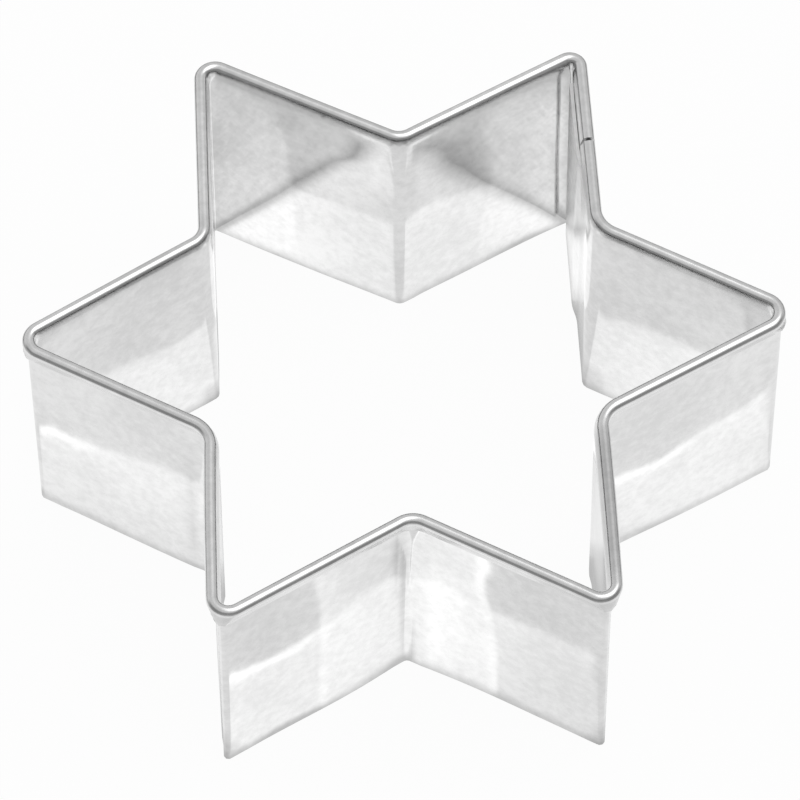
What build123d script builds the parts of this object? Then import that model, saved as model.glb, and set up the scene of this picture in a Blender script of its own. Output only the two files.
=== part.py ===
from build123d import *
from math import acos, atan, atan2, cos, degrees, hypot, radians, sin
import os

# A star-shaped cookie cutter. One strip of tinned steel sheet has its upper edge folded
# over to the outside as a round-topped hem, is bent on edge into a star, and closes on
# itself in a lap that spot welds hold shut. There are no moving parts.
# The origin is the middle of the star, on the surface that the cutting edge rests on.
# +Z points up to the hemmed rim and +X to the first tip. Lengths are in millimetres.

# The strip
band_height = 25.4
sheet_thickness = 0.3

# The star, measured on the middle of the sheet
tip_count = 6
tip_reach = 32.2
valley_reach = 18.7
tip_bend_radius = 0.6
valley_bend_radius = 2.8

# The bends of a real cutter land a little off the true star. Each corner has its own
# share of the nominal reach, and the degrees that it is swung round the middle. The
# first tip comes first, then the first valley, and so on round the star.
corner_shares = [
    (1.012, 0.0), (1.013, -0.6),
    (0.979, -0.6), (1.004, -1.3),
    (0.995, 0.3), (1.006, -0.3),
    (1.006, 0.4), (1.008, 0.2),
    (1.008, -0.8), (0.990, -0.5),
    (0.998, 0.0), (0.974, 0.0),
]

# The hem. The wall leans out in a slow roll, goes over a round bead, and its free leg slants
# back down to it. The inside of the bead is hidden and very small, so a few flats stand in
# for its round. The turn of the roll is in degrees.
bead_width = 1.1
roll_radius = 2.6
roll_turn = 25
hem_depth = 2.4
hem_leg_gap = 0.05
fold_flats = 4

# The lap, on the wall between the first valley and the second tip. The outer end of the
# strip keeps its hem. The inner end has none: it is a tongue that steps in behind, and its
# top stays a little below the start of the hem's roll.
lap_place_share = 0.52
lap_length = 7.0
lap_gap = 0.04
tongue_drop = 0.2
hem_end_gap = 0.3
step_length = 2.5

# The spot welds of the lap, and the shallow dents that the electrodes leave. Both have
# sloping sides, and a flat face that is a share of their diameter.
weld_count = 3
weld_diameter = 2.4
weld_depth = 0.12
weld_margin = 4.5
dent_diameter = 3.2
dent_depth = 0.05
flat_face_share = 0.75

# Sizes that follow from the ones above
bead_radius = bead_width / 2
bead_centre_height = band_height - bead_radius
roll_height = bead_centre_height - (roll_radius - bead_radius) * sin(radians(roll_turn))
tongue_height = roll_height - tongue_drop
tongue_shift = sheet_thickness + lap_gap


def corner_point(number):
    """One corner of the star: even numbers are tips, odd ones valleys."""
    reach = valley_reach if number % 2 else tip_reach
    reach_share, swing = corner_shares[number]
    angle = radians(number * 180 / tip_count + swing)
    return Vector(cos(angle), sin(angle)) * reach * reach_share


def lap_frame():
    """The plane at the outer ply's end: X along the wall to the second tip, Y inwards."""
    valley, tip = corner_point(1), corner_point(2)
    along = (tip - valley).normalized()
    return Plane(origin=valley + (tip - valley) * lap_place_share, x_dir=along, z_dir=(0, 0, 1))


def star_path():
    """The middle of the sheet, from the outer ply's end round to where the tongue starts."""
    frame = lap_frame()
    start = frame.origin
    end = frame.origin - frame.x_dir * (hem_end_gap + step_length)
    order = [number % (2 * tip_count) for number in range(2, 2 * tip_count + 2)]
    corners = [corner_point(number) for number in order]
    radii = [valley_bend_radius if number % 2 else tip_bend_radius for number in order]
    return Wire(FilletPolyline(start, *corners, end, radius=radii).edges())


def hem_section(plane, foot):
    """The sheet cut across: the wall from its foot up, over the hem and down the free leg.

    In the plane, X points outwards and Y up, and the middle of the wall is at X zero."""
    half = sheet_thickness / 2
    roll_centre = Vector(roll_radius - half, roll_height)
    lean_out = (roll_radius - bead_radius) * (1 - cos(radians(roll_turn)))
    centre = Vector(bead_radius - half + lean_out, bead_centre_height)
    tail = Vector(sheet_thickness + hem_leg_gap, band_height - hem_depth)
    drop = tail - centre
    lean = atan2(drop.Y, drop.X) + acos((bead_radius - half) / hypot(drop.X, drop.Y))
    outwards = Vector(cos(lean), sin(lean))
    bead_start = 180 - roll_turn
    bead_turn = bead_start - degrees(lean)
    with BuildSketch(plane) as section:
        with BuildLine():
            Line((-half, foot), (-half, roll_height))
            CenterArc(roll_centre, roll_radius, 180, -roll_turn)
            over = CenterArc(centre, bead_radius, bead_start, -bead_turn)
            outer_leg = Line(over @ 1, tail + outwards * half)
            tail_end = Line(outer_leg @ 1, tail - outwards * half)
            inside = fold_points(centre, bead_start, bead_turn)
            Polyline(tail_end @ 1, *inside)
            CenterArc(roll_centre, roll_radius - sheet_thickness, bead_start, roll_turn)
            Polyline((half, roll_height), (half, foot), (-half, foot))
        make_face()
    return section.sketch


def fold_points(centre, bead_start, bead_turn):
    """The corners of the flats inside the bead, from the free leg over to the wall."""
    radius = bead_radius - sheet_thickness
    points = []
    for number in range(fold_flats + 1):
        angle = radians(bead_start - bead_turn * (fold_flats - number) / fold_flats)
        points.append(centre + Vector(cos(angle), sin(angle)) * radius)
    return points


def section_plane(origin, along):
    """The plane across the strip at a point of its path: X outwards, Y up."""
    return Plane(origin=origin, x_dir=along.cross(Vector(0, 0, 1)), z_dir=-along)


def hemmed_strip():
    """The strip with its hem, swept round the star."""
    path = star_path()
    section = hem_section(section_plane(path @ 0, path % 0), 0)
    return sweep(section, path=path)


def hem_tail():
    """The last of the hem, which runs on straight above the stepped sheet to the other end."""
    path = star_path()
    section = hem_section(section_plane(path @ 1, path % 1), tongue_height)
    return extrude(section, amount=step_length, dir=path % 1)


def tongue():
    """The inner end of the strip: it steps in by one sheet and lies behind the outer ply."""
    frame = lap_frame()
    start = frame.origin - frame.x_dir * (hem_end_gap + step_length)
    step_angle = 2 * atan(tongue_shift / step_length)
    step_radius = step_length / 2 / sin(step_angle)
    with BuildLine(Plane(origin=start, x_dir=frame.x_dir, z_dir=(0, 0, 1))) as line:
        step_in = JernArc((0, 0), (1, 0), step_radius, degrees(step_angle))
        step_back = JernArc(step_in @ 1, step_in % 1, step_radius, -degrees(step_angle))
        Line(step_back @ 1, (hem_end_gap + step_length + lap_length, tongue_shift))
    path = line.wire()
    with BuildSketch(section_plane(path @ 0, path % 0)) as section:
        Rectangle(sheet_thickness, tongue_height, align=(Align.CENTER, Align.MIN))
    return sweep(section.sketch, path=path)


def weld_locations():
    """Places of the welds, up the middle of the lap: Y runs in through the two plies."""
    frame = lap_frame()
    pitch = (tongue_height - 2 * weld_margin) / (weld_count - 1)
    places = []
    for number in range(weld_count):
        height = weld_margin + number * pitch
        places.append(frame * Pos(lap_length / 2, tongue_shift / 2, height))
    return places


def button(diameter, height):
    """A flat button that lies in the XZ plane: two cut cones, base to base, each this high."""
    radius = diameter / 2
    base_down = (Align.CENTER, Align.CENTER, Align.MIN)
    cone = Cone(radius, radius * flat_face_share, height, align=base_down)
    return Rot(90, 0, 0) * cone + Rot(-90, 0, 0) * cone


def nugget():
    """One weld nugget, which bridges the gap and bites into both plies."""
    return button(weld_diameter, weld_depth + lap_gap / 2)


def electrode_dents():
    """The tools that press one weld's two dents, into the outer face and the inner face."""
    face = (tongue_shift + sheet_thickness) / 2
    dent = button(dent_diameter, dent_depth)
    return Pos(0, -face, 0) * dent + Pos(0, face, 0) * dent


def cutter_band():
    """The whole strip, with a pocket for each nugget and a dent at each electrode."""
    band = hemmed_strip() + hem_tail() + tongue()
    for place in weld_locations():
        band = band - place * nugget() - place * electrode_dents()
    return band


def spot_welds():
    """The nuggets, one solid each."""
    return Compound(children=[place * nugget() for place in weld_locations()])


os.makedirs("parts", exist_ok=True)
export_step(cutter_band(), "parts/cutter_band.step")
export_step(spot_welds(), "parts/spot_welds.step")
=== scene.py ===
from math import acos, atan, atan2, cos, hypot, pi, radians, sin, tan

import bmesh
import bpy
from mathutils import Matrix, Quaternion, Vector, noise


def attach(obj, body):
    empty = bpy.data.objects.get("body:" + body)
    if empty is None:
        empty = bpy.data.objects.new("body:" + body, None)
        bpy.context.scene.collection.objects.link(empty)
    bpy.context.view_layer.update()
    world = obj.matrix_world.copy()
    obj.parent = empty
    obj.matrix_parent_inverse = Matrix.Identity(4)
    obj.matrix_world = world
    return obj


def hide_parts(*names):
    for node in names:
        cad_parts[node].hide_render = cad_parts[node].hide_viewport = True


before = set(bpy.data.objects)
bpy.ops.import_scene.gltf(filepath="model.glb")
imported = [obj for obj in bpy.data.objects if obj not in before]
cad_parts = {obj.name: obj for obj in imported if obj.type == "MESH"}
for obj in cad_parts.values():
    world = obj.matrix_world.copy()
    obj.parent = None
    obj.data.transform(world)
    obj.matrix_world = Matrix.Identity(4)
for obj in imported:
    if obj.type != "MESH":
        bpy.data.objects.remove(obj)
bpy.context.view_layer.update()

# The strip
#
# One length of tinned steel sheet, 0.3 mm thick and an inch deep. Its upper edge is folded
# over to the outside as a round hem, the strip is bent on edge into a star, corner by
# corner, and its inner end steps in behind the other end as the tongue of a lap.

# Its sizes, in millimetres until the finished mesh is brought to metres.
sheet = 0.3
half_sheet = sheet / 2
band_height = 25.4
tip_count = 6
corner_count = 2 * tip_count
tip_reach = 32.2
valley_reach = 18.7
corner_shares = [
    (1.012, 0.0), (1.013, -0.6),
    (0.979, -0.6), (1.004, -1.3),
    (0.995, 0.3), (1.006, -0.3),
    (1.006, 0.4), (1.008, 0.2),
    (1.008, -0.8), (0.990, -0.5),
    (0.998, 0.0), (0.974, 0.0),
]

# Each corner's bend: its radius at the hem, which is stiff and goes round wide, its radius
# in the sheet below, and the two heights between which the one turns into the other.
bends = {
    0: (0.95, 0.25, 22.8, 25), 1: (3.4, 0.5, -4, 24),
    2: (0.4, 0.25, 22.8, 25), 3: (2.4, 0.7, 17, 23.5),
    4: (0.7, 0.25, 22.8, 25), 5: (2.6, 0.3, -4, 24),
    6: (0.85, 0.25, 22.8, 25), 7: (3.3, 3.0, 0, 23.5),
    8: (0.8, 0.25, 22.8, 25), 9: (2.6, 0.7, 17, 23.5),
    10: (0.75, 0.25, 22.8, 25), 11: (3.3, 2.6, 0, 12),
}

# The folds aren't quite square: how far each corner's foot lands from below its rim, and
# the height from which down a fold drifts there.
foot_moves = {2: Vector((0.18, 0.1)), 6: Vector((0.2, 0)), 9: Vector((-0.4, 0.17)),
              11: Vector((0.2, 0.45))}
fold_top = 23

# The hem: the sheet leans out in a slow roll, goes over a tight bead, and comes down again.
bead_width = 1.1
bead_radius = bead_width / 2
bead_height = band_height - bead_radius
hem_depth = 2.4
hem_leg_gap = 0.05
roll_radius = 2.6
roll_turn = radians(25)
foot_chamfer = 0.05

# The lap, on the wall from the first valley to the second tip.
lap_place_share = 0.52
lap_length = 7.0
lap_gap = 0.04
hem_end_gap = 0.3
step_length = 2.5
tongue_drop = 0.2
tongue_height = bead_height - (roll_radius - bead_radius) * sin(roll_turn) - tongue_drop
tongue_shift = sheet + lap_gap

# How finely the sheet is cut: steps across it, then along it.
wall_steps = 30
roll_steps, bead_steps = 8, 20
inner_roll_steps, inner_bead_steps = 4, 8
leg_steps = 4
ring_spacing = 0.8
bend_steps = 12
hem_tail_steps = 3
step_bend_steps = 4
tongue_steps = 12


def corner_point(number):
    reach = valley_reach if number % 2 else tip_reach
    share, swing = corner_shares[number]
    angle = radians(number * 180 / tip_count + swing)
    return Vector((cos(angle), sin(angle), 0)) * reach * share


def right_of(heading):
    """The level direction to the right of a heading: out of the star, on the way round it."""
    return Vector((heading.y, -heading.x, 0))


def arc_points(centre, radius, start, turn, steps):
    """Points of an arc across the strip, (outwards, up), clockwise from a start angle."""
    points = []
    for number in range(steps + 1):
        angle = start - turn * number / steps
        points.append((centre[0] + radius * cos(angle), centre[1] + radius * sin(angle)))
    return points


def line_points(start, end, steps):
    """Points of a straight run across the strip, without its two ends."""
    points = []
    for number in range(1, steps):
        share = number / steps
        points.append((start[0] + (end[0] - start[0]) * share,
                       start[1] + (end[1] - start[1]) * share))
    return points


def sheet_section():
    """The sheet cut across, once round: up the inside, over the hem and down the outside."""
    rise = (roll_radius - bead_radius) * sin(roll_turn)
    roll_centre = (-half_sheet + roll_radius, bead_height - rise)
    centre = (roll_centre[0] - (roll_radius - bead_radius) * cos(roll_turn), bead_height)
    tail = (sheet + hem_leg_gap, band_height - hem_depth)
    drop = (tail[0] - centre[0], tail[1] - centre[1])
    lean = atan2(drop[1], drop[0]) + acos((bead_radius - half_sheet) / hypot(*drop))
    turn = pi - lean
    over = (cos(lean) * half_sheet, sin(lean) * half_sheet)
    edge = foot_chamfer
    points = [(-half_sheet + edge, 0), (-half_sheet, edge)]
    points += line_points((-half_sheet, edge), (-half_sheet, tongue_height), wall_steps)
    points.append((-half_sheet, tongue_height))
    points += arc_points(roll_centre, roll_radius, pi, roll_turn, roll_steps)
    points += arc_points(centre, bead_radius, pi - roll_turn, turn - roll_turn,
                         bead_steps)[1:]
    leg_end = (tail[0] + over[0], tail[1] + over[1])
    points += line_points(points[-1], leg_end, leg_steps)
    points.append(leg_end)
    points.append((tail[0] - over[0], tail[1] - over[1]))
    inside = bead_radius - sheet
    under = arc_points(centre, inside, pi - roll_turn, turn - roll_turn, inner_bead_steps)
    points += line_points(points[-1], under[-1], leg_steps)
    points += reversed(under)
    inner_roll = arc_points(roll_centre, roll_radius - sheet, pi, roll_turn, inner_roll_steps)
    points += reversed(inner_roll[:-1])
    points.append((half_sheet, tongue_height))
    points += line_points((half_sheet, tongue_height), (half_sheet, edge), wall_steps)
    points += [(half_sheet, edge), (half_sheet - edge, 0)]
    return points


bm = bmesh.new()
out_layer = bm.verts.layers.float.new("out")
# The strip's painted light and shade: lighter and darker patches in the tin's colour that
# stand in for reflections.
painted_light_layer = bm.verts.layers.float.new("painted_light")
dull_and_shade_layer = bm.verts.layers.float.new("dull_and_shade")

# The folded-down leg of the hem is darkened with painted shade, for the darker reflection it
# shows.
leg_painted_shade = -0.2
leg_top = bead_height - 0.15


def close_ring(points, origin, heading):
    """A ring of edges across the strip at a point of its path. Outwards is to the right."""
    outwards = right_of(heading)
    verts = []
    for out, height in points:
        vert = bm.verts.new(origin + outwards * out + Vector((0, 0, height)))
        vert[out_layer] = out
        vert[painted_light_layer] = leg_painted_shade if out > sheet and height < leg_top else 0
        verts.append(vert)
    pairs = zip(verts, verts[1:] + verts[:1])
    return verts, [bm.edges.new(pair) for pair in pairs]


def push(edges, step, steps):
    """Draws a ring on along a straight run. Gives the edges it ends with and all its rings."""
    rings = []
    for _ in range(steps):
        result = bmesh.ops.extrude_edge_only(bm, edges=edges)["geom"]
        verts = [item for item in result if isinstance(item, bmesh.types.BMVert)]
        fresh = set(verts)
        edges = [item for item in result if isinstance(item, bmesh.types.BMEdge)
                 and fresh.issuperset(item.verts)]
        bmesh.ops.translate(bm, verts=verts, vec=step / steps)
        rings.append(verts)
    return edges, rings


def bend(edges, centre, turn, steps):
    """Bends a ring round an upright line. Gives the edges it ends with and all its rings."""
    rings = []
    for _ in range(steps):
        result = bmesh.ops.spin(bm, geom=edges, cent=centre, axis=(0, 0, 1),
                                angle=turn / steps, steps=1, use_merge=False)["geom_last"]
        edges = [item for item in result if isinstance(item, bmesh.types.BMEdge)]
        rings.append([item for item in result if isinstance(item, bmesh.types.BMVert)])
    return edges, rings


def soft_step(low, high, value):
    """0 below the low value, 1 above the high one, and smooth between them."""
    share = max(0, min(1, (value - low) / (high - low)))
    return share * share * (3 - 2 * share)


def tighten(rings, corner, heading, turn, reach, radius_at):
    """Gives a bend its own radius at each height, between the same two ends.

    The bend's rings are spread over the old round of the given reach from its corner."""
    side = 1 if turn > 0 else -1
    half = abs(turn) / 2
    middle = heading.copy()
    middle.rotate(Quaternion((0, 0, 1), turn / 2))
    away = right_of(middle) * side
    for number, ring in enumerate(rings[:-1]):
        share = 2 * (number + 1) / len(rings) - 1
        for vert in ring:
            radius = radius_at(vert.co.z)
            straight = reach - radius * tan(half)
            travel = share * (straight + radius * half)
            swing = max(-half, min(half, travel / radius))
            rest = travel - swing * radius
            place = corner - away * (radius / cos(half) - radius * cos(swing))
            place += middle * (sin(swing) * radius)
            facing = middle.copy()
            facing.rotate(Quaternion((0, 0, 1), swing * side))
            place += facing * rest
            place += right_of(facing) * vert[out_layer]
            vert.co.xy = place.xy


# How far each wall bows out in its middle, by the corner that it starts from.
bows = {0: 0.08, 2: 0.1, 3: -0.1, 4: 0.0, 5: 0.08, 6: 0.1, 7: 0.35, 8: 0.08, 9: -0.08,
        10: 0.35, 11: 0.1}

# The low waves in the walls, which die out over a share of the wall at each bend. Upwards
# they are a little longer.
wave_height = 0.16
wave_length = 11
wave_rise_share = 0.8
wave_fade_share = 0.25

# How much of the bows and waves the stiff hem takes away, and the heights at which its hold
# begins and is full.
hem_hold = 0.85
hold_start, hold_full = 19, 23.4

# Painted light and shade on the tin: lighter and darker patches in its colour that stand in
# for reflections. For each, the wall's first corner, the share of the way along the wall, the
# height, the reach along and up, and the change. It is full over the first share of its reach.
painted_mark_core_share = 0.3
painted_light_marks = [
    (2, 0.62, 18, 4, 7, -0.12),
    (10, 0.5, 25, 12, 3, -0.22),
    (4, 0.5, 25, 9, 3, 0.1),
    (2, 0.1, 13, 4, 14, 0.12),
    (3, 0.08, 20, 2.6, 3, 0.1),
    (3, 0.7, 13, 9, 9, 0.09),
    (3, 0.55, 3, 9, 8, 0.04),
    (9, 0.07, 9, 5, 14, 0.09),
    (6, 0.97, 8, 4, 15, -0.2),
    (2, 0.94, 20, 1.5, 3, 0.08),
    (2, 0.42, 21, 15, 14, 0.13),
]


def unflatten(ring, number, share, length, outwards):
    """Gives one ring of a wall its share of the wall's bow, waves and painted light and shade.
    """
    middle = soft_step(0, wave_fade_share, share)
    middle *= 1 - soft_step(1 - wave_fade_share, 1, share)
    for vert in ring:
        slack = 1 - hem_hold * soft_step(hold_start, hold_full, vert.co.z)
        spot = Vector((vert.co.x, vert.co.y, vert.co.z * wave_rise_share))
        wave = noise.noise(spot / wave_length)
        shift = bows[number] * sin(pi * share) + wave_height * wave * middle
        change_here = 0
        for wall, along, height, reach, rise, change in painted_light_marks:
            if wall == number:
                far = hypot((share - along) * length / reach, (vert.co.z - height) / rise)
                change_here += change * (1 - soft_step(painted_mark_core_share, 1, far))
        vert[painted_light_layer] += change_here
        vert.co += outwards * shift * slack


def beside_wall(number, place):
    """The wall's number, the share of the way along it that is nearest to a place, and how
    far off the place is."""
    start, end = corner_point(number).xy, corner_point((number + 1) % corner_count).xy
    run = end - start
    share = max(0, min(1, (place.xy - start).dot(run) / run.length_squared))
    return number, share, (start + run * share - place.xy).length


def distance_to_band(place):
    """How far a place is from the nearest wall, in millimetres."""
    return min(beside_wall(number, place)[2] for number in range(corner_count))


points = sheet_section()
valley, tip = corner_point(1), corner_point(2)
heading = (tip - valley).normalized()
place = valley + (tip - valley) * lap_place_share
lap_heading = heading.copy()
lap_end = place - heading * (hem_end_gap + step_length)

first_ring, ring = close_ring(points, place, heading)
bm.faces.new(first_ring)
order = [number % corner_count for number in range(2, corner_count + 2)]
for index, number in enumerate(order):
    corner = corner_point(number)
    after = corner_point(order[index + 1]) if index + 1 < len(order) else lap_end
    next_heading = (after - corner).normalized()
    turn = atan2(heading.cross(next_heading).z, heading.dot(next_heading))
    radius, fold, low, high = bends[number]
    setback = radius * tan(abs(turn) / 2)
    run = corner - heading * setback - place
    ring, rings = push(ring, run, max(2, round(run.length / ring_spacing)))
    if index:
        before = corner_point(order[index - 1])
        length = (corner - before).length
        outwards = right_of(heading)
        for item in rings[:-1]:
            share = (item[0].co.xy - before.xy).dot(heading.xy) / length
            unflatten(item, order[index - 1], share, length, outwards)
    side = 1 if turn > 0 else -1
    centre = place + run - right_of(heading) * radius * side
    ring, rings = bend(ring, centre, turn, bend_steps)
    tighten(rings, corner, heading, turn, setback,
            lambda height: fold + (radius - fold) * soft_step(low, high, height))
    place = corner + next_heading * setback
    heading = next_heading
run = lap_end - place
ring, lap_rings = push(ring, run, max(2, round(run.length / ring_spacing)))


def below_hem(vert):
    """Whether a vert of the last ring belongs to the sheet that goes on as the tongue."""
    hair = 0.001
    return vert.co.z < tongue_height + hair and vert[out_layer] < half_sheet + hair


# The hem runs on straight to the other end, and the sheet below it steps in behind.
lower = [edge for edge in ring if all(below_hem(vert) for vert in edge.verts)]
upper = [edge for edge in ring if edge not in lower]
shoulder = {vert for edge in lower for vert in edge.verts}.intersection(
    vert for edge in upper for vert in edge.verts)
shoulder_edge = bm.edges.new(sorted(shoulder, key=lambda vert: vert[out_layer]))
upper, _ = push(upper + [shoulder_edge], heading * step_length, hem_tail_steps)
bmesh.ops.contextual_create(bm, geom=upper)
step_angle = 2 * atan(tongue_shift / step_length)
step_radius = step_length / 2 / sin(step_angle)
inwards = -right_of(lap_heading)
centre = lap_end + inwards * step_radius
lower, rings = bend(lower + [shoulder_edge], centre, step_angle, step_bend_steps)
lap_rings += rings
back = lap_heading * sin(step_angle) - inwards * cos(step_angle)
lower, rings = bend(lower, centre + back * 2 * step_radius, -step_angle, step_bend_steps)
lap_rings += rings
lower, rings = push(lower, lap_heading * (hem_end_gap + lap_length), tongue_steps)
lap_rings += rings
bmesh.ops.contextual_create(bm, geom=lower)
bmesh.ops.recalc_face_normals(bm, faces=bm.faces)

# The inside of the lap is dull from the welding, and is darkened a little with painted shade:
# how far back it starts, and is full.
dull_start, dull_full = 10.5, 14
for item in lap_rings:
    for vert in item:
        if vert[out_layer] < 0:
            vert[dull_and_shade_layer] = soft_step(dull_start, dull_full, vert.co.y)

# The feet of the folds go to where they really land, and take the sheet between along.
still = Vector((0, 0))
for vert in bm.verts:
    number, share, _ = min((beside_wall(number, vert.co) for number in range(corner_count)),
                           key=lambda found: found[2])
    first_move = foot_moves.get(number, still)
    last_move = foot_moves.get((number + 1) % corner_count, still)
    vert.co.xy += first_move.lerp(last_move, share) * max(0, 1 - vert.co.z / fold_top)

to_metres = 0.001
bmesh.ops.scale(bm, vec=(to_metres, to_metres, to_metres), verts=bm.verts)
mesh = bpy.data.meshes.new("cutter_band_sheet")
bm.to_mesh(mesh)
bm.free()
mesh.shade_smooth()
sharp_angle = radians(35)
mesh.set_sharp_from_angle(angle=sharp_angle)
strip = bpy.data.objects.new("cutter_band_sheet", mesh)
bpy.context.scene.collection.objects.link(strip)


class Amount:
    """A number or colour on its way through a finish's nodes, which sums can be made of."""

    def __init__(self, finish, socket):
        self.finish = finish
        self.socket = socket

    def sum(self, operation, *others):
        node = self.finish.node("ShaderNodeMath", {"operation": operation},
                                dict(enumerate((self, *others))))
        return self.finish.out(node)

    def __add__(self, other):
        return self.sum("ADD", other)

    __radd__ = __add__

    def __sub__(self, other):
        return self.sum("SUBTRACT", other)

    def __rsub__(self, other):
        return self.sum("MULTIPLY", -1) + other

    def __mul__(self, other):
        return self.sum("MULTIPLY", other)

    __rmul__ = __mul__

    def between(self, low, high):
        """0 below the low value, 1 above the high one, and smooth between them."""
        node = self.finish.node("ShaderNodeMapRange", {"interpolation_type": "SMOOTHSTEP"},
                                {"Value": self, "From Min": low, "From Max": high})
        return self.finish.out(node)


class Finish:
    """A material, or the world, as a tree of nodes."""

    def __init__(self, block):
        block.use_nodes = True
        self.block = block
        self.tree = block.node_tree
        self.tree.nodes.clear()

    def node(self, kind, settings=None, sockets=None):
        """A node of a kind, with its settings and the values or links of its sockets."""
        node = self.tree.nodes.new(kind)
        for name, value in (settings or {}).items():
            setattr(node, name, value)
        for name, value in (sockets or {}).items():
            socket = node.inputs[name]
            if isinstance(value, Amount):
                self.tree.links.new(value.socket, socket)
            else:
                socket.default_value = value
        return node

    def out(self, node, name=0):
        return Amount(self, node.outputs[name])


def grey(level):
    return (level, level, level, 1)


# The tin: a fine mottle over broad soft patches, in cells to the metre, and a few specks,
# spaced and sized by the cell. Then its tone, and the change that each of them makes to it.
fine_cells, broad_cells, speck_cells = 1100.0, 120.0, 110.0
fine_share, broad_share = 0.6, 0.4
mottle_low, mottle_high = 0.3, 0.7
speck_core, speck_edge = 0.02, 0.04
tin_tone, mottle_tone, speck_tone, lap_painted_shade_tone = 0.66, 0.13, 0.2, 0.03
ripple_strength, ripple_depth = 0.06, 0.0002

# How rough it is: all over, in the mottle, where the rollers worked it, and in the lap. The
# rollers' marks begin and are full at these two heights, in metres.
plain_rough, mottle_rough, worked_rough, dull_rough = 0.06, 0.04, 0.125, 0.14
worked_start, worked_full = 0.0226, 0.0242

tinplate = Finish(bpy.data.materials.new("tinplate"))
place_on_part = tinplate.out(tinplate.node("ShaderNodeTexCoord"), "Object")
mottle = tinplate.out(tinplate.node("ShaderNodeTexNoise", {}, {
    "Vector": place_on_part, "Scale": fine_cells, "Detail": 4.0, "Roughness": 0.62}), "Fac")
patches = tinplate.out(tinplate.node("ShaderNodeTexNoise", {}, {
    "Vector": place_on_part, "Scale": broad_cells, "Detail": 2.0}), "Fac")
shade = (mottle * fine_share + patches * broad_share).between(mottle_low, mottle_high)
# The tone is scaled by the painted light and shade, which stands in for reflections on the
# walls.
painted_light = tinplate.out(tinplate.node("ShaderNodeAttribute", {"attribute_name": "painted_light"}), "Fac")
specks = tinplate.out(tinplate.node("ShaderNodeTexVoronoi", {"feature": "F1"}, {
    "Vector": place_on_part, "Scale": speck_cells}), "Distance")
speck = 1 - specks.between(speck_core, speck_edge)
# The lap's mask makes it rougher and darkens its colour a little as painted shade.
dull_and_shade = tinplate.out(tinplate.node("ShaderNodeAttribute", {"attribute_name": "dull_and_shade"}), "Fac")
tone = (shade * mottle_tone + tin_tone) * (painted_light + 1)
tone = tone * (1 - speck * speck_tone) * (1 - dull_and_shade * lap_painted_shade_tone)
colour = tinplate.out(tinplate.node("ShaderNodeMix", {"data_type": "RGBA"}, {
    "Factor": tone, 6: grey(0.0), 7: grey(1.0)}), 2)
ripple = tinplate.out(tinplate.node("ShaderNodeBump", {}, {
    "Strength": ripple_strength, "Distance": ripple_depth, "Height": patches}), "Normal")
split = tinplate.node("ShaderNodeSeparateXYZ", {}, {"Vector": place_on_part})
worked = tinplate.out(split, "Z").between(worked_start, worked_full)
roughness = worked * worked_rough + plain_rough + mottle * mottle_rough + dull_and_shade * dull_rough
surface = tinplate.node("ShaderNodeBsdfPrincipled", {}, {
    "Base Color": colour, "Metallic": 1.0, "Roughness": roughness, "Normal": ripple})
output = tinplate.node("ShaderNodeOutputMaterial")
tinplate.tree.links.new(surface.outputs[0], output.inputs[0])
mesh.materials.append(tinplate.block)

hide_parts("cutter_band")
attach(strip, "root")

# The spot welds
#
# Three nuggets of melted and frozen steel between the two plies of the lap. The plies hide
# them, and the solids of the frame stand for them.
grain_cells = 3000.0
dark_steel, light_steel = 0.32, 0.5
steel_rough, grain_rough = 0.35, 0.2

nugget = Finish(bpy.data.materials.new("weld_metal"))
place_on_weld = nugget.out(nugget.node("ShaderNodeTexCoord"), "Object")
grain = nugget.out(nugget.node("ShaderNodeTexNoise", {}, {
    "Vector": place_on_weld, "Scale": grain_cells, "Detail": 3.0}), "Fac")
weld_colour = nugget.out(nugget.node("ShaderNodeMix", {"data_type": "RGBA"}, {
    "Factor": grain, 6: grey(dark_steel), 7: grey(light_steel)}), 2)
weld_surface = nugget.node("ShaderNodeBsdfPrincipled", {}, {
    "Base Color": weld_colour, "Metallic": 1.0,
    "Roughness": grain * grain_rough + steel_rough})
weld_output = nugget.node("ShaderNodeOutputMaterial")
nugget.tree.links.new(weld_surface.outputs[0], weld_output.inputs[0])
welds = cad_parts["spot_welds"]
for slot in welds.material_slots:
    slot.material = nugget.block

# The table and the light
#
# A white table under a large soft light. Nothing here is part of the cutter. The table is a
# grid whose half size is in metres, and the other sizes on it are in millimetres.
table_reach = 0.09
table_cells = 90
bm = bmesh.new()
bmesh.ops.create_grid(bm, x_segments=table_cells, y_segments=table_cells, size=table_reach)
glow_layer = bm.verts.layers.float.new("glow")

# Light from above and in front comes down off each wall that faces it, and so brightens a
# slanted patch of the table at that wall's foot, with the hem's glint along the far side.
light_slant = Vector((0, -0.35, 0))
least_facing = 0.1
patches_of_light = {}
for number in range(corner_count):
    start, end = corner_point(number), corner_point((number + 1) % corner_count)
    outwards = right_of(end - start).normalized()
    facing = outwards.dot(light_slant)
    if abs(facing) > least_facing:
        face = outwards if facing > 0 else -outwards
        throw = (face * 2 * abs(facing) - light_slant) * band_height
        patches_of_light[number] = start, end - start, throw

# How soft a patch is at its sides, in millimetres, and at its near and far edges, in shares
# of its throw. The glint's place and half width are such shares too, and its change along
# the wall is spread over a share of the wall to each side.
side_blur = 0.5
near_edge = (-0.02, 0.05)
end_edge = (0.98, 1.02)
glint_place, glint_half_width = 0.95, 0.07
turn_spread = 0.15


def part_way(first, last, share):
    """A share of the way from the first value to the last."""
    return first + (last - first) * share


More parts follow.
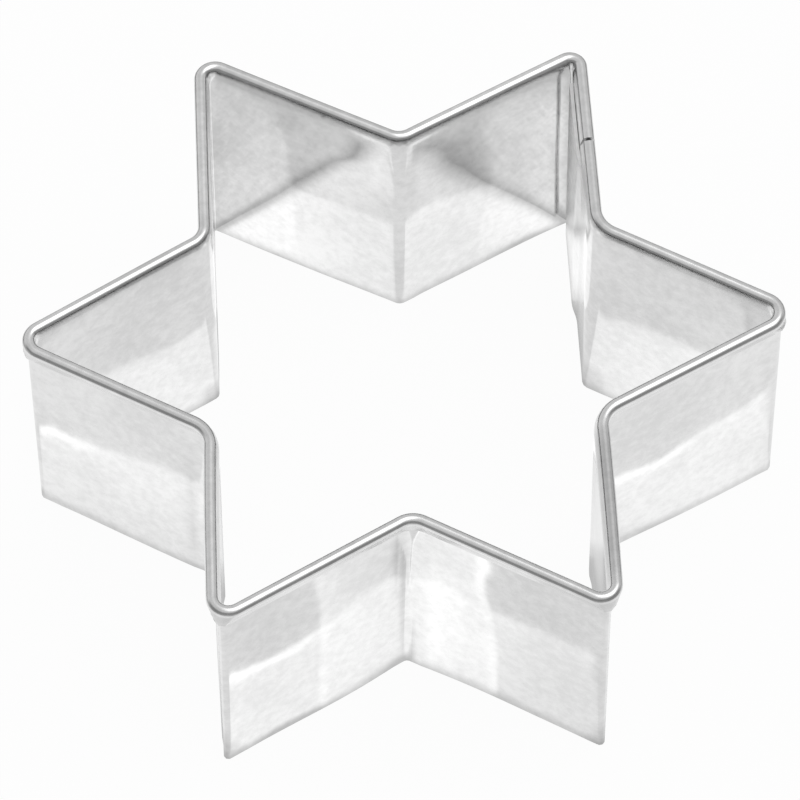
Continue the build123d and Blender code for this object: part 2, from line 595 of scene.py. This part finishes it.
def thrown_light(place, patch, habits):
    """How much of one wall's patch a place has, and how much of the patch's glint."""
    start, run, throw = patch
    spread = run.cross(throw).z
    along = (place - start).cross(throw).z / spread
    out = run.cross(place - start).z / spread
    side = side_blur / run.length
    width = soft_step(-side, side, along) * (1 - soft_step(1 - side, 1 + side, along))
    far_edge, glint, strength, fade, turn_share = habits
    along = max(0, min(1, along))
    out /= part_way(*far_edge, along)
    reach = width * soft_step(*near_edge, out) * (1 - soft_step(*end_edge, out))
    reach *= part_way(*strength, along)
    reach *= 1 - fade * (1 - max(0, min(1, out)))
    turned = soft_step(turn_share - turn_spread, turn_share + turn_spread, along)
    streak = max(0, 1 - ((out - glint_place) / glint_half_width) ** 2)
    return reach, width * part_way(*glint, turned) * streak


# What each wall's patch is like at its first end and at its last: how far out its edge lies,
# how strong the glint is and how bright the patch. Then how much it fades towards the wall,
# and where along the wall the glint changes.
even_patch = (1, 1), (0, 0), (1, 1), 0, 0.5
patch_habits = {
    6: ((0.85, 1.07), (1, 0), (1, 1), 0.75, 0.32),
    8: ((1, 0.92), (1, 0.15), (1.6, 1), 0.1, 0.42),
    9: ((1.05, 1.04), (0.2, 0.1), (1.3, 0.75), 0.6, 0.4),
    11: ((0.67, 0.93), (0.9, 0.15), (1, 1), 0.4, 0.55),
}


def turned_back(place, start, end):
    """The place's mirror image in a wall."""
    outwards = right_of(end - start).normalized()
    return place - outwards * 2 * (place - start).dot(outwards)


# The table is cut finer and finer towards the foot of the band, where the glow changes fast.
to_millimetres = 1000
fine_reaches = 13, 12, 10.5
gaps = {vert: distance_to_band(vert.co * to_millimetres) for vert in bm.verts}
for reach in fine_reaches:
    close = [edge for edge in bm.edges
             if max(gaps[vert] for vert in edge.verts) < reach]
    bmesh.ops.subdivide_edges(bm, edges=close, cuts=1, use_grid_fill=True)
    for vert in bm.verts:
        if vert not in gaps:
            gaps[vert] = distance_to_band(vert.co * to_millimetres)

# How bright the table is: plain, in a patch, where two patches lie on each other, and in a
# glint. Then what it has more of to the left and right, and in the back left corner.
plain_glow = 0.92
patch_glow = 0.25
second_glow = 0.09
glint_glow = 0.38
side_glow, side_start, side_full = 0.08, 10, 24
corner_glow = 0.17
corner_middle, corner_size = Vector((-13, 12.5)), Vector((5, 6))
corner_core_share = 0.4

# The shade of the band: at its foot all round, and beside each wall that no light comes down
# off, by the wall's first corner: how bright it stays, and its width at the wall's two ends.
foot_shade, foot_start, foot_end = 0.75, 0.2, 0.9
upright_shades = {1: (0.77, 3.0, 1.3), 4: (0.77, 0.9, 2.3),
                  7: (0.78, 2.6, 2.6), 10: (0.78, 2.6, 2.6)}
shade_core_share = 0.3

# Far off, the table is darker.
far_glow, far_start, far_full = 0.3, 28, 75

# The walls aren't flat, so the edges of the patches waver.
waver_length, waver_reach = 7, 0.6
waver_offset = Vector((9, 9, 9))

left_wall = corner_point(4), corner_point(5)
right_wall = corner_point(1), corner_point(2)
for vert in bm.verts:
    place = vert.co * to_millimetres
    gap = gaps[vert]
    spot = place / waver_length
    waver = Vector((noise.noise(spot), noise.noise(spot + waver_offset), 0))
    waved = place + waver * waver_reach
    light = glint = 0
    for number, patch in patches_of_light.items():
        reach, streak = thrown_light(waved, patch, patch_habits.get(number, even_patch))
        light += reach
        glint += streak
    for wall, number in ((left_wall, 3), (right_wall, 2)):
        mirrored = turned_back(waved, *wall)
        light += thrown_light(mirrored, patches_of_light[number], even_patch)[0]
    level = plain_glow + patch_glow * min(light, 1) + second_glow * max(0, min(light, 2) - 1)
    level += glint_glow * glint + side_glow * soft_step(side_start, side_full, abs(place.x))
    from_corner = hypot((place.x - corner_middle.x) / corner_size.x,
                        (place.y - corner_middle.y) / corner_size.y)
    level += corner_glow * (1 - soft_step(corner_core_share, 1, from_corner))
    level *= foot_shade + (1 - foot_shade) * soft_step(foot_start, foot_end, gap)
    for number, (upright_shade, first_width, last_width) in upright_shades.items():
        _, share, beside = beside_wall(number, place)
        width = part_way(first_width, last_width, share)
        clear = soft_step(shade_core_share * width, width, beside)
        level *= upright_shade + (1 - upright_shade) * clear
    far = soft_step(far_start, far_full, gap)
    vert[glow_layer] = level * (1 - far) + far_glow * far

# The table's rim goes out to far beyond the view.
outer_scale = 30
rim = [edge for edge in bm.edges if edge.is_boundary]
result = bmesh.ops.extrude_edge_only(bm, edges=rim)["geom"]
outer = [item for item in result if isinstance(item, bmesh.types.BMVert)]
bmesh.ops.scale(bm, vec=(outer_scale, outer_scale, 1), verts=outer)
floor_mesh = bpy.data.meshes.new("table_top")
bm.to_mesh(floor_mesh)
bm.free()
table = bpy.data.objects.new("table_top", floor_mesh)
bpy.context.scene.collection.objects.link(table)

# The camera sees white paper that takes a trace of the shadow, and metal sees the glow.
paper_tone = 0.8
shown_share = 0.96
paper = Finish(bpy.data.materials.new("white_paper"))
ray = paper.node("ShaderNodeLightPath")
seen = paper.out(ray, "Is Camera Ray")
mirrored = paper.out(ray, "Is Glossy Ray") + paper.out(ray, "Is Transmission Ray")
mirrored = mirrored.sum("MINIMUM", 1.0)
glow = paper.out(paper.node("ShaderNodeAttribute", {"attribute_name": "glow"}), "Fac")
shown = paper.out(paper.node("ShaderNodeMix", {"data_type": "RGBA"}, {
    "Factor": seen, 6: glow, 7: grey(1.0)}), 2)
white = paper.node("ShaderNodeEmission", {}, {"Color": shown, "Strength": 1.0})
matt = paper.node("ShaderNodeBsdfDiffuse", {}, {"Color": grey(paper_tone)})
shown_part = (seen * shown_share + mirrored * shown_share).sum("MINIMUM", 1.0)
blend = paper.node("ShaderNodeMixShader", {}, {"Fac": shown_part})
paper.tree.links.new(matt.outputs[0], blend.inputs[1])
paper.tree.links.new(white.outputs[0], blend.inputs[2])
paper_output = paper.node("ShaderNodeOutputMaterial")
paper.tree.links.new(blend.outputs[0], paper_output.inputs[0])
floor_mesh.materials.append(paper.block)

scene = bpy.context.scene
scene.view_settings.view_transform = "Standard"

# The room, as the metal sees it: dim in front and low down, brighter behind, a little less
# so behind on the right, and brightest overhead in a wide soft lobe. It is white to the
# camera.
front_level, back_gain, right_loss = 0.28, 0.46, 0.1
overhead_level, lobe_gain = 0.68, 0.42
lobe_right, lobe_up = 0.3, 0.95

# The change from one of these to the next runs over a span of the direction's own parts.
right_span, back_span = (-0.3, 0.3), (-0.1, 0.4)
overhead_span, lobe_span = (0.42, 0.72), (0.72, 1.0)

room = bpy.data.worlds.new("room")
scene.world = room
air = Finish(room)
direction = air.node("ShaderNodeTexCoord")
split = air.node("ShaderNodeSeparateXYZ")
air.tree.links.new(direction.outputs["Generated"], split.inputs[0])
right = air.out(split, "X")
back = air.out(split, "Y")
up = air.out(split, "Z")
to_right = right.between(*right_span)
to_back = back.between(*back_span)
low = front_level + to_back * (back_gain - right_loss * to_right)
lobe = (right * lobe_right + up * lobe_up).between(*lobe_span)
high = overhead_level + lobe_gain * lobe
level = low + (high - low) * up.between(*overhead_span)
ray = air.node("ShaderNodeLightPath")
plain = air.out(ray, "Is Camera Ray")
level = level * (1 - plain) + plain
sky = air.node("ShaderNodeBackground", {}, {"Color": level, "Strength": 1.0})
air_output = air.node("ShaderNodeOutputWorld")
air.tree.links.new(sky.outputs[0], air_output.inputs[0])

# The soft light hangs above, a little to the right.
lamp = bpy.data.lights.new("softbox", "AREA")
lamp.shape = "SQUARE"
lamp.size = 0.8
lamp.energy = 1.5
softbox = bpy.data.objects.new("softbox", lamp)
softbox.location = (0.3, 0.0, 0.95)
softbox.rotation_euler = (-softbox.location).to_track_quat("-Z", "Y").to_euler()
scene.collection.objects.link(softbox)

# The camera stands where the photograph was taken from. Its turns are in degrees.
look_down, look_right = 57.31, 2.41
eye = bpy.data.cameras.new("camera")
eye.lens = 311.38
eye.sensor_width = 36
camera = bpy.data.objects.new("camera", eye)
camera.location = (-0.014044, -0.32506, 0.52010)
camera.rotation_euler = (radians(90 - look_down), 0, radians(-look_right))
scene.collection.objects.link(camera)
scene.camera = camera
